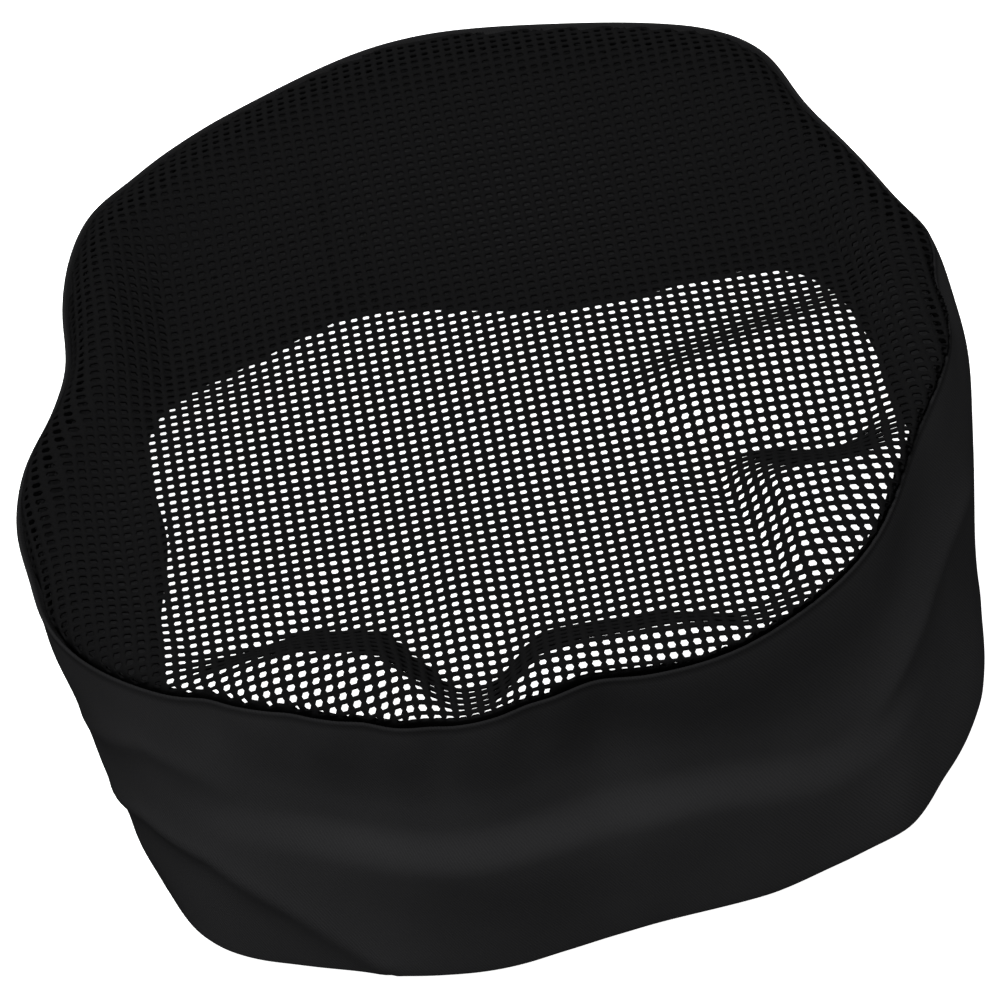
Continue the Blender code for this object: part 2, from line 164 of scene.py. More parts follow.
# Puffed edge of the crown, by angle: how far in from the seam its crest lies, how high it is, how
# wide the slope behind it is, the height left behind it, and how far it bulges out
CREST_KEYS = (
    (0, 7, 2.5, 10, 0.5, 0.5), (15, 8, 2.2, 14, 0.6, 0.5), (40, 11, 1.8, 22, 0.5, 0.4),
    (90, 11, 1.6, 22, 0.5, 0.3), (115, 9, 2.2, 16, 0.2, 0.5), (127, 8, 3.2, 11, -1.4, 0.6),
    (140, 9, 4.0, 11, -1.8, 0.8), (152, 9, 4.3, 11, -1.6, 1.8), (160, 9, 4.3, 11, 0.2, 2.8),
    (172, 9, 3.6, 12, 0.6, 2.8), (182, 8, 2.6, 12, 0.4, 0), (190, 7.5, 2.6, 10, 0.4, -0.4),
    (199, 6, 2.1, 9, 0.2, -0.3), (205, 3.4, 1.9, 5.5, 0.0, 0.3), (208.5, 3.8, 2.6, 6, -0.3, 0.3),
    (210.5, 6.0, 3.2, 7.6, -1.0, 0.3), (212.5, 7.8, 3.8, 9, -1.5, 0.4),
    (214.5, 9.4, 4.2, 9.8, -1.8, 0.5), (217, 10.6, 4.4, 10, -2.0, 0.5),
    (220, 11.1, 4.5, 10, -2.0, 0.5), (223, 11.8, 4.5, 10, -2.0, 0.5),
    (226, 12.2, 4.5, 10, -2.1, 0.5), (229, 11.4, 4.4, 9.6, -2.2, 0.4),
    (232, 9.6, 4.2, 9, -2.4, 0.4), (235, 7.0, 3.7, 8.6, -2.7, 0.2),
    (237.5, 4.0, 2.4, 7.8, -2.9, 0), (240.6, 2.0, 0.9, 7, -2.9, 0), (244.5, 2.0, 1.1, 7, -2.9, 0),
    (247, 3.0, 2.2, 7.5, -2.5, 0.1), (249.4, 5, 3.6, 8.6, -1.6, 0.3),
    (251.3, 6.3, 4.3, 8.8, -1.1, 0.4), (254, 6.3, 4.5, 9.0, -0.9, 0.5),
    (257, 5.8, 4.5, 8.8, -0.9, 0.5), (260, 5.9, 4.3, 8.2, -0.7, 0.5),
    (263, 6.5, 4.1, 7.5, -0.6, 0.5), (268, 7.5, 3.8, 6.8, -0.4, 0.5),
    (272, 6.8, 3.6, 6.4, -0.4, 0.4), (275.5, 5.0, 3.1, 5.6, -0.5, 0.3),
    (278, 2.8, 2.4, 5, -0.7, 0.1), (281, 2.0, 2.0, 4.6, -0.9, 0), (286, 2.0, 2.0, 4.6, -0.9, 0),
    (288.5, 2.6, 1.9, 8, -0.5, 0), (291, 8, 2.6, 16, -0.6, 0.2), (294, 14, 3.5, 18, -0.9, 0.3),
    (297.5, 22, 4.6, 13, -0.8, 0.4), (300, 21, 5.1, 14, -1.0, 0.5),
    (302.5, 18, 5.3, 15.5, -1.1, 0.5), (304.5, 13.5, 5.3, 17, -1.1, 0.5),
    (306.5, 8.8, 5.2, 17, -1.2, 0.5), (308.5, 5.6, 4.8, 14, -1.4, 0.3),
    (310.5, 4, 4.2, 10, -1.5, 0.3), (313, 3.2, 3.5, 7.5, -1.5, 0.2),
    (316, 2.6, 2.5, 6.5, -0.9, 0.2), (322, 4, 1.8, 7, -0.3, 0.3), (330, 6, 2.5, 7, -0.6, 0.5),
    (338, 8, 3.0, 8, -1.2, 0.5), (350, 8, 3.0, 9, -1.0, 0.5),
)
CREST_BLUR = 0.9
# How soon the puffed edge reaches its height: below 1 it rises steeply from the seam, then levels
CREST_ROUND = 0.65
# Shares of the slope behind the crest that are straight and rounded
FALL_STRAIGHT, FALL_ROUNDED = 0.93, 0.07
# Distance over which the height left behind the slope dies away
CREST_FADE = 28.0
# How far the mesh puffs out over the band just above the seam, by angle. It is farthest out at
# LIP_AT along the cloth, and back again LIP_FADE later
LIP_KEYS = (
    (10, 0.8), (38, -0.6), (125, -0.6), (150, -0.2), (185, 0.3), (203, 1.4), (211, 0.7),
    (219, 0.9), (226, 2.0), (231, 2.0), (236, 1.1), (249, 0.8), (260, 1.2), (272, 2.0),
    (335, 2.4), (350, 1.6),
)
LIP_AT = 1.3
LIP_FADE = 10.0
# Ridges on the flat part: start, end, rise, and the widths of the slopes in front and behind
CROWN_RIDGES = (((37, -33), (68, -34), 3.3, 12.0, 4.8),)
RIDGE_END = 9.0
# Slow rise and fall of the flat part: direction, wavelength, phase and height. It grows from the
# seam to its full height at WAVES_START
CROWN_WAVES = ((20, 95, 0.5, 0.45), (75, 70, 2.0, 0.4), (130, 52, 4.1, 0.3), (-40, 120, 1.0, 0.4))
WAVES_START = 25.0

# ------------------------ how it is sewn and knitted

# Section of the twill: heights of its points down the inside, up the outside and down its raw
# edge, and (inset, height) points round the rim and over at the seam
INNER_HEIGHTS = np.linspace(80.5, 1.2, 26)
RIM_FOLD = ((1.72, 0.75), (1.45, 0.4), (1.0, 0.27), (0.55, 0.4), (0.28, 0.75))
OUTER_HEIGHTS = (*np.linspace(1.2, 84.6, 46), 85.3, 85.7)
SEAM_TURN = ((0.36, 85.95), (0.6, 85.6), (0.85, 84.6), (1.1, 83.4), (1.45, 82.2))
EDGE_HEIGHTS = (80.8, 78.0)
# Where the inner ply starts to move over for the seam, and how soon it is there
SHIFT_START = 70.0
SHIFT_HEIGHT = 6.0
# Interlining: heights of its points, and how far round from the slit it starts and ends
INTERLINING_HEIGHTS = np.linspace(1.6, 69.0, 20)
INTERLINING_SPAN = (3.2, 356.8)
# Binding over the raw edges: heights of its points outside and inside, and (inset, height) points
# of the fold under them
TAPE_OUTER_HEIGHTS = np.linspace(80.6, 77.8, 4)
TAPE_FOLD = ((1.62, 77.45), (2.0, 77.3), (2.4, 77.3), (2.8, 77.3), (3.18, 77.45))
TAPE_INNER_HEIGHTS = np.linspace(77.8, 82.0, 4)
# Columns of points round the band, and round the pieces that are out of sight
BAND_COLUMNS = 481
HIDDEN_COLUMNS = 361

# The slit closes over the top SLIT_RUN of its height. Beside it, as far as PINCH_WIDTH, the band's
# two plies close up by the share PINCH, and this fades out by PINCH_FADE above the slit
SLIT_RUN = 3.0
PINCH = 0.68
PINCH_WIDTH = 4.0
PINCH_FADE = 6.0

# Tab: how far in from its outline its hollow and its interlining start, and half the hollow
TAB_TURNED_IN = 1.2
TAB_LINING_MARGIN = 1.6
TAB_HOLLOW_HALF = 0.5
# Roundness of its edge
TAB_EDGE = 1.0

# Mesh of the crown: direction of its rows, then pitch and half size of its holes, along and across
ROW_ANGLE = -18.0
HOLE_PITCH = (2.54, 2.09)
HOLE_HALF = (0.86, 0.67)
# How far in from the seam the holes start, how much cloth hangs below the seam, and the depth over
# which that cloth moves from the seam's inset to its own
HOLES_START = 0.2
SEAM_ALLOWANCE = 5.5
TUCK = 4.0
# No point of the crown is farther than this from the middle
CROWN_REACH = 125.0
# A hole's outline, as shares of its half sizes
HOLE_OUTLINE = ((1, 0), (0.58, 1), (-0.58, 1), (-1, 0), (-0.58, -1), (0.58, -1))
# Faces of one cell: c are its corners above and b below, h the hole's points above and g below
CELL_FACES = (
    "c1 c2 h0", "c2 h1 h0", "c3 h2 h1 c2", "c3 h3 h2", "c0 h3 c3", "c0 h4 h3", "c1 h5 h4 c0",
    "c1 h0 h5", "h0 h1 g1 g0", "h1 h2 g2 g1", "h2 h3 g3 g2", "h3 h4 g4 g3", "h4 h5 g5 g4",
    "h5 h0 g0 g5", "b2 b1 g0", "b2 g0 g1", "b3 b2 g1 g2", "b3 g2 g3", "b0 b3 g3", "b0 g3 g4",
    "b1 b0 g4 g5", "b1 g5 g0",
)
PLAIN_FACES = ("c0 c1 c2 c3", "b3 b2 b1 b0")
# Corners of a cell in half pitches, and the corners on the side towards each neighbour
CELL_CORNERS = ((-1, -1), (1, -1), (1, 1), (-1, 1))
NEIGHBOURS = {(0, -1): (0, 1), (1, 0): (1, 2), (0, 1): (2, 3), (-1, 0): (3, 0)}

# Stitches
THREAD_RADIUS = 0.17
THREAD_SIDES = 6
STITCH = 2.3
STITCH_GAP = 0.5
# One stitch: share of its length, height in thread radii, and girth
STITCH_SHAPE = (
    (0.0, -1.2, 0.6), (0.12, 0.3, 0.95), (0.5, 0.8, 1.0), (0.88, 0.3, 0.95), (1.0, -1.2, 0.6),
)
# Heights of the lines round the cap and on the label
CROWN_STITCH_HEIGHT = 82.6
TAPE_STITCH_HEIGHT = 80.0
LABEL_STITCH_HEIGHT = 77.8
# How far in the lines are from a piece's edges: in height, in angle, and at the tab's free end
STITCH_MARGIN = 2.5
STITCH_MARGIN_ANGLE = 1.5
TAB_END_MARGIN_ANGLE = 1.8
ROOT_STITCH_ANGLES = (85.0, 87.0)
LABEL_MARGIN_ANGLE = 1.0
# Bar tack over the slit: half its width, its pitch, its lean as a share of the pitch, and its lower
# end, middle and upper end over the slit
TACK_HALF_ANGLE = 2.4
TACK_PITCH = 0.36
TACK_LEAN = 0.3
TACK_HEIGHTS = (1.0, 1.8, 2.8)

# Flat size of the band: height at which its length is taken
GIRTH_HEIGHT = 40.0

# ------------------------ how finely it is made

KEY_STEP = 0.25
OUTLINE_STEP = 0.5
SLOPE_STEP = 0.1
NORMAL_STEP = 0.25
PAD_STEP = 1.2
EDGE_POINTS = 5
# Closer to the seam than this, the way in is square to the seam
ON_SEAM = 0.05
# Points handled at once, so that the table of distances stays small
CHUNK = 4000
# In metres
WELD_DISTANCE = 1e-6

# ------------------------ camera and cloth shading

AZIMUTH = -18.0
ELEVATION = 51.0
ROLL = 11.0
DISTANCE = 1100.0
LENS = 184.5
TARGET = (-1.77, -7.45, 43.0)

# Painted shade on the fold along the crown seam, which keeps its lit top from showing as a bright
# line: the heights in metres where it starts and ends, and the brightness at each
FOLD_SHADE = (0.0834, 0.0858, 1.0, 0.45)
# Shade of a woven cloth: the ribs count RIB_SHARE beside the yarns, ribs and yarns together count
# WEAVE_SHARE, and slow changes over the cloth count BROAD_SHARE
RIB_SHARE = 0.35
WEAVE_SHARE = 0.5
BROAD_SHARE = 0.25


# ------------------------ shape of the band

def smooth(value):
    """0 to 1 with level ends."""
    t = np.clip(value, 0.0, 1.0)
    return t * t * (3.0 - 2.0 * t)


def closed_curve(values):
    """Values and second derivatives of the smooth closed curve through evenly spaced values."""
    y = np.array(values, float)
    eye = np.eye(len(y))
    system = 4.0 * eye + np.roll(eye, 1, axis=1) + np.roll(eye, -1, axis=1)
    return y, np.linalg.solve(system, 6.0 * (np.roll(y, 1) - 2.0 * y + np.roll(y, -1)))


def on_curve(curve, degrees):
    y, bend = curve
    at = np.mod(degrees, 360.0) / 360.0 * len(y)
    i = np.minimum(at.astype(int), len(y) - 1)
    j = (i + 1) % len(y)
    t = at - i
    flat = (1.0 - t) * y[i] + t * y[j]
    return flat + ((1.0 - t) ** 3 - (1.0 - t)) * bend[i] / 6.0 + (t**3 - t) * bend[j] / 6.0


def keyed(keys, column, blur):
    """A function of the angle that runs through a table's column, rounded over blur degrees."""
    fine = np.arange(0.0, 360.0, KEY_STEP)
    angles = [row[0] for row in keys]
    values = np.interp(fine, angles, [row[column] for row in keys], period=360.0)
    gap = np.minimum(fine, 360.0 - fine)
    weight = np.exp(-0.5 * (gap / blur) ** 2)
    values = np.fft.irfft(np.fft.rfft(values) * np.fft.rfft(weight / weight.sum()), len(fine))
    return lambda degrees: np.interp(np.mod(degrees, 360.0), fine, values, period=360.0)


def angle_gap(degrees, middle):
    return np.mod(degrees - middle + 180.0, 360.0) - 180.0


def step_lengths(points):
    """How far each point of a line is from the one before."""
    return np.linalg.norm(np.diff(points, axis=0), axis=1)


def run_lengths(points):
    """How far along a line each of its points is."""
    return np.concatenate(([0.0], np.cumsum(step_lengths(points))))


RIM = closed_curve(RIM_RADII)
SEAM = closed_curve(SEAM_RADII)
RIM_EASE = keyed(RIM_KEYS, 1, blur=1.2)
SEAM_EASE = keyed(SEAM_KEYS, 1, blur=2.0)
WAIST = keyed(WAIST_KEYS, 1, blur=4.0)
WAIST_DEPTH = keyed(WAIST_DEPTH_KEYS, 1, blur=3.0)


def fold_relief(degrees, z, points, rise, above, below):
    """A soft-edged ridge along a line on the band, steeper on one flank than on the other."""
    middle = points[len(points) // 2][0]
    x = angle_gap(degrees, middle) * MM_PER_DEGREE
    nearest = np.full(x.shape, np.inf)
    out = np.zeros(x.shape)
    for (a0, z0, s0), (a1, z1, s1) in zip(points, points[1:]):
        x0, x1 = ((a - middle) * MM_PER_DEGREE for a in (a0, a1))
        dx, dz = x1 - x0, z1 - z0
        t = np.clip(((x - x0) * dx + (z - z0) * dz) / (dx * dx + dz * dz), 0.0, 1.0)
        off_x, off_z = x - x0 - t * dx, z - z0 - t * dz
        distance = np.hypot(off_x, off_z)
        side = np.sign(dx * off_z - dz * off_x) * np.sign(dx)
        width = np.where(side >= 0, above, below)
        soft = np.sqrt(distance**2 + 1.0) - 1.0
        height = (s0 + t * (s1 - s0)) * rise * np.exp(-soft / width)
        out = np.where(distance < nearest, height, out)
        nearest = np.minimum(nearest, distance)
    return out


def relief(degrees, z):
    """How far the band's cloth stands out from the plain shape between its two outlines."""
    out = RIM_EASE(degrees) * (1.0 - smooth(z / OUTLINE_FADE))
    out = out + SEAM_EASE(degrees) * smooth(1.0 + (z - BAND_HEIGHT) / OUTLINE_FADE)
    over_waist = z - WAIST(degrees)
    left_above = BAND_HEIGHT - WAIST(degrees) - WAIST_WIDTH
    closing = 1.0 - smooth((over_waist - WAIST_WIDTH) / left_above)
    out -= WAIST_DEPTH(degrees) * smooth(over_waist / WAIST_WIDTH + 0.5) * closing
    for points, height, above, below in FOLDS:
        out += fold_relief(degrees, z, points, height, above, below)
    for angle, height, half_width, half_height, rise in DENTS:
        x = angle_gap(degrees, angle) * MM_PER_DEGREE / half_width
        out += rise * np.exp(-0.5 * (x * x + ((z - height) / half_height) ** 2))
    turn = np.radians(degrees)
    between_edges = np.sin(math.pi * np.clip(z / BAND_HEIGHT, 0, 1))
    for count, phase, height in BAND_WAVES:
        out += height * np.sin(count * turn + phase + z / WAVE_TWIST) * between_edges
    return out


def outline_centre():
    """The point that the radii are measured from, found from the band's box in the frame."""
    turn = np.radians(np.arange(0.0, 360.0, OUTLINE_STEP))
    points = []
    for curve in (RIM, SEAM):
        r = on_curve(curve, np.degrees(turn))
        points.append(np.stack((r * np.cos(turn), r * np.sin(turn)), -1))
    points = np.concatenate(points)
    low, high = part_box("band")
    middle = np.array((low + high)[:2]) / 2.0 / MM
    return middle - (points.min(0) + points.max(0)) / 2.0


CENTRE = outline_centre()


def place(degrees, z, inset):
    """Points (..., 3) at an inset from the band's outer face. A negative inset is outside it."""
    degrees, z, inset = np.broadcast_arrays(*(np.asarray(v, float) for v in (degrees, z, inset)))
    share = np.clip(z / BAND_HEIGHT, 0.0, 1.0)
    turn = np.radians(degrees)

    def radius(at):
        return (1.0 - share) * on_curve(RIM, at) + share * on_curve(SEAM, at)

    r = radius(degrees)
    change = radius(degrees + SLOPE_STEP) - radius(degrees - SLOPE_STEP)
    slope = change / math.radians(2.0 * SLOPE_STEP)
    along = (slope * np.cos(turn) - r * np.sin(turn), slope * np.sin(turn) + r * np.cos(turn))
    size = np.hypot(*along)
    out = relief(degrees, z) - inset
    x = CENTRE[0] + r * np.cos(turn) + along[1] / size * out
    y = CENTRE[1] + r * np.sin(turn) - along[0] / size * out
    return np.stack((x, y, z), -1)


# ------------------------ meshes

def add_mesh(name, points, faces, material):
    mesh = bpy.data.meshes.new(name)
    mesh.from_pydata((np.asarray(points).reshape(-1, 3) * MM).tolist(), [], faces)
    mesh.materials.append(material)
    mesh.shade_smooth()
    obj = bpy.data.objects.new(name, mesh)
    bpy.context.scene.collection.objects.link(obj)
    return obj


def grid_faces(rows, columns, start=0, flip=False):
    """Quads of a grid whose points run row by row."""
    i, j = np.meshgrid(np.arange(rows - 1), np.arange(columns - 1), indexing="ij")
    a = (start + i * columns + j).ravel()
    quads = np.stack((a, a + 1, a + columns + 1, a + columns), -1)
    return (quads[:, ::-1] if flip else quads).tolist()


def weld(obj):
    edit = bmesh.new()
    edit.from_mesh(obj.data)
    bmesh.ops.remove_doubles(edit, verts=edit.verts, dist=WELD_DISTANCE)
    edit.to_mesh(obj.data)
    edit.free()


def add_uv(obj, uv):
    """Gives every point of the mesh its own place on the flat cloth, in millimetres."""
    layer = obj.data.uv_layers.new(name="cloth")
    corner = np.zeros(len(obj.data.loops), int)
    obj.data.loops.foreach_get("vertex_index", corner)
    layer.data.foreach_set("uv", np.asarray(uv, np.float32).reshape(-1, 2)[corner].ravel())


def strip(name, path, columns, angles, material, thickness, place_at=place):
    """A strip of cloth along the band. path is its section, as (inset, height) points."""
    path = np.array(path, float)
    degrees = np.linspace(*angles, columns)[None, :]
    points = place_at(degrees, path[:, 1:], path[:, :1])
    u, v = np.meshgrid((degrees[0] - angles[0]) * MM_PER_DEGREE, run_lengths(path))
    obj = add_mesh(name, points, grid_faces(len(path), columns), material)
    add_uv(obj, np.stack((u, v), -1))
    weld(obj)
    solid = obj.modifiers.new("thickness", "SOLIDIFY")
    solid.thickness = thickness * MM
    solid.offset = 0.0
    return obj


def edge_steps(length, edge, step):
    """Positions along a length, close together within edge of both ends."""
    near = edge * (1.0 - np.cos(np.linspace(0.0, math.pi / 2.0, EDGE_POINTS)))
    count = max(2, int(round((length - 2.0 * edge) / step)))
    middle = np.linspace(edge, length - edge, count + 1)[1:-1]
    return np.concatenate((near, middle, (length - near)[::-1]))


def pad_points(angles, heights, out, half, corner, edge):
    """The outer and the inner face of a flat piece with rounded corners, and their flat positions.

    out says how far outside the band the piece's middle is, as a function of the angle.
    """
    length = (angles[1] - angles[0]) * MM_PER_DEGREE
    half_height = (heights[1] - heights[0]) / 2.0
    along = edge_steps(length, edge, PAD_STEP)
    across = edge_steps(2.0 * half_height, edge, PAD_STEP) / half_height - 1.0
    end = np.minimum(along, length - along)
    cut_in = np.maximum(corner - end, 0.0)
    reach = half_height - (corner - np.sqrt(corner**2 - cut_in**2))
    s, v = np.meshgrid(along, across, indexing="ij")
    reach = reach[:, None]
    rim = np.minimum(end[:, None], (1.0 - np.abs(v)) * reach)
    bulk = half * np.sqrt(1.0 - (1.0 - np.clip(rim / edge, 0.0, 1.0)) ** 2)
    degrees = angles[0] + s / MM_PER_DEGREE
    z = sum(heights) / 2.0 + v * reach
    middle = -out(degrees)
    return place(degrees, z, middle - bulk), place(degrees, z, middle + bulk), np.stack((s, z), -1)


def pad(name, shells, material):
    """A flat closed piece. Each shell is (outer points, inner points, flat positions)."""
    points, faces, flat, start = [], [], [], 0
    for number, (outer, inner, at) in enumerate(shells):
        rows, columns = outer.shape[:2]
        inside_out = number > 0
        faces += grid_faces(rows, columns, start, flip=inside_out)
        faces += grid_faces(rows, columns, start + rows * columns, flip=not inside_out)
        points += [outer.reshape(-1, 3), inner.reshape(-1, 3)]
        flat += [at.reshape(-1, 2)] * 2
        start += 2 * rows * columns
    obj = add_mesh(name, np.concatenate(points), faces, material)
    add_uv(obj, np.concatenate(flat))
    weld(obj)
    return obj


def stitches(name, starts, ends, normals, material):
    """Short arched threads from starts to ends, whose ends sink into the cloth."""
    along = ends - starts
    tangent = along / np.linalg.norm(along, axis=1, keepdims=True)
    across = np.cross(tangent, normals)
    turns = np.linspace(0.0, 2.0 * math.pi, THREAD_SIDES, endpoint=False)
    wide = np.cos(turns)[None, :, None] * across[:, None, :]
    tall = np.sin(turns)[None, :, None] * normals[:, None, :]
    rings = []
    for share, lift, girth in STITCH_SHAPE:
        middle = starts + share * along + normals * lift * THREAD_RADIUS
        rings.append(middle[:, None, :] + THREAD_RADIUS * girth * (wide + tall))
    points = np.stack(rings, 1)
    count, levels, sides = points.shape[:3]
    faces = []
    for n in range(count):
        base = n * levels * sides
        for level in range(levels - 1):
            for k in range(sides):
                a, b = base + level * sides + k, base + level * sides + (k + 1) % sides
                faces.append((a, a + sides, b + sides, b))
        faces.append(tuple(base + k for k in range(sides)))
        faces.append(tuple(base + (levels - 1) * sides + k for k in reversed(range(sides))))
    return add_mesh(name, points, faces, material)


def seam_line(name, degrees, z, inset, side, material):
    """A line of stitches on a face that looks outwards (side 1) or inwards (side -1)."""
    points = place(degrees, z, inset)
    normals = place(degrees, z, np.asarray(inset) - side) - points
    normals /= np.linalg.norm(normals, axis=1, keepdims=True)
    run = run_lengths(points)
    count = max(1, int(round(run[-1] / (STITCH + STITCH_GAP))))
    pitch = run[-1] / count
    first = (np.arange(count) + STITCH_GAP / 2.0 / (STITCH + STITCH_GAP)) * pitch
    last = first + pitch * STITCH / (STITCH + STITCH_GAP)

    def at(values, positions):
        return np.stack([np.interp(positions, run, values[:, k]) for k in range(3)], -1)

    facing = at(normals, (first + last) / 2.0)
    return stitches(name, at(points, first), at(points, last), facing, material)


# ------------------------ crown

CREST = [keyed(CREST_KEYS, column, CREST_BLUR) for column in range(1, 6)]
LIP = keyed(LIP_KEYS, 1, blur=3.0)
SEAM_ANGLES = np.arange(0.0, 360.0, OUTLINE_STEP)
SEAM_LINE = place(SEAM_ANGLES, BAND_HEIGHT, CROWN_AT_SEAM)[:, :2]


def seam_foot(points):
    """Angle of the nearest place on the seam, distance from it (positive inside), the place itself
    and the way in from there."""
    ahead = np.roll(SEAM_LINE, -1, axis=0) - SEAM_LINE
    length = np.linalg.norm(ahead, axis=1)
    angle, distance = np.zeros(len(points)), np.full(len(points), np.inf)
    foot = np.zeros((len(points), 2))
    nearest = np.concatenate([
        np.argmin(((chunk[:, None, :] - SEAM_LINE[None, :, :]) ** 2).sum(-1), axis=1)
        for chunk in np.array_split(points, max(1, len(points) // CHUNK))
    ])
    for offset in (-1, 0):
        k = (nearest + offset) % len(SEAM_LINE)
        t = ((points - SEAM_LINE[k]) * ahead[k]).sum(-1) / length[k] ** 2
        t = np.clip(t, 0.0, 1.0)
        candidate = SEAM_LINE[k] + ahead[k] * t[:, None]
        far = np.linalg.norm(points - candidate, axis=1)
        better = far < distance
        angle = np.where(better, SEAM_ANGLES[k] + t * OUTLINE_STEP, angle)
        foot = np.where(better[:, None], candidate, foot)
        distance = np.where(better, far, distance)
    around = (np.roll(SEAM_LINE, -1, axis=0) - np.roll(SEAM_LINE, 1, axis=0))[nearest]
    inward = np.stack((-around[:, 1], around[:, 0]), -1)
    inward /= np.linalg.norm(inward, axis=1, keepdims=True)
    toward = points - foot
    inside = (toward * inward).sum(-1) >= 0
    signed = np.where(inside, distance, -distance)
    off_seam = np.maximum(distance, ON_SEAM)[:, None]
    straight = np.where(inside[:, None], toward, -toward) / off_seam
    way = np.where(distance[:, None] > ON_SEAM, straight, inward)
    return angle, signed, foot, way


def ridge_shape(x, y, start, end, before, after):
    """From 0 to 1 over a ridge that fades out past its ends. Seen from its start towards its end,
    the slope on its right is before wide and the slope on its left is after wide."""
    run = np.array(end) - np.array(start)
    length = np.hypot(*run)
    along = ((x - start[0]) * run[0] + (y - start[1]) * run[1]) / length
    off = ((y - start[1]) * run[0] - (x - start[0]) * run[1]) / length
    past = np.maximum(np.maximum(-along, along - length), 0.0) / RIDGE_END
    width = np.where(off > 0, after, before)
    return np.exp(-0.5 * ((off / width) ** 2 + past ** 2))


def crown_surface(flat):
    """Where points of the flat mesh cloth lie on the cap, and how far in from the seam they are."""
    x, y = flat[:, 0], flat[:, 1]
    angle, distance, foot, way = seam_foot(flat)
    polar = np.degrees(np.arctan2(y - CENTRE[1], x - CENTRE[0]))
    crest, rise, back, behind, bulge = (column(polar) for column in CREST)
    # The climb to the crest and the slope behind it take more cloth than they cover
    front_extra = (math.pi * rise) ** 2 / (16.0 * crest)
    back_extra = np.hypot(back, rise - behind) - back
    cloth = distance + front_extra + back_extra
    front_cloth, back_cloth = crest + front_extra, back + back_extra
    up = np.clip(cloth / front_cloth, 0.0, 1.0)
    down = np.clip((cloth - front_cloth) / back_cloth, 0.0, 1.0)
    beyond = np.maximum(cloth - front_cloth - back_cloth, 0.0)
    inside = crest * up + back * down + beyond
    height = rise * np.sin(up ** CREST_ROUND * math.pi / 2.0)
    fall = FALL_STRAIGHT * down + FALL_ROUNDED * smooth(down)
    height = np.where(down > 0, rise + (behind - rise) * fall, height)
    height *= 1.0 - smooth(beyond / CREST_FADE)
    lip = LIP(polar) * smooth(cloth / LIP_AT) * (1.0 - smooth((cloth - LIP_AT) / LIP_FADE))
    spread = inside - bulge * np.sin(math.pi * up) * (down <= 0) - lip
    plan = foot + way * spread[:, None]
    for start, end, ridge, before, after in CROWN_RIDGES:
        height = height + ridge * ridge_shape(x, y, start, end, before, after)
    for direction, length, phase, amount in CROWN_WAVES:
        turn = math.radians(direction)
        wave = np.sin((x * math.cos(turn) + y * math.sin(turn)) / length * 2.0 * math.pi + phase)
        height = height + amount * wave * smooth(inside / WAVES_START)
    points = np.concatenate((plan, (BAND_HEIGHT + height)[:, None]), axis=1)
    # The seam allowance hangs down inside the band
    depth = np.maximum(-cloth, 0.0)
    inset = CROWN_AT_SEAM + (CROWN_EDGE - CROWN_AT_SEAM) * smooth(depth / TUCK)
    hanging = place(angle, BAND_HEIGHT - depth, inset)
    return np.where(cloth[:, None] < 0, hanging, points), cloth


def both_faces(flat):
    """Points of the crown's upper and lower face over places on the flat cloth."""
    middle = crown_surface(flat)[0]
    east = crown_surface(flat + (NORMAL_STEP, 0.0))[0] - middle
    north = crown_surface(flat + (0.0, NORMAL_STEP))[0] - middle
    normal = np.cross(east, north)
    normal /= np.linalg.norm(normal, axis=1, keepdims=True)
    return middle + normal * MESH / 2.0, middle - normal * MESH / 2.0


def face_patterns(faces):
    """(letter, number) pairs of the points of each face."""
    return [[(point[0], int(point[1])) for point in face.split()] for face in faces]


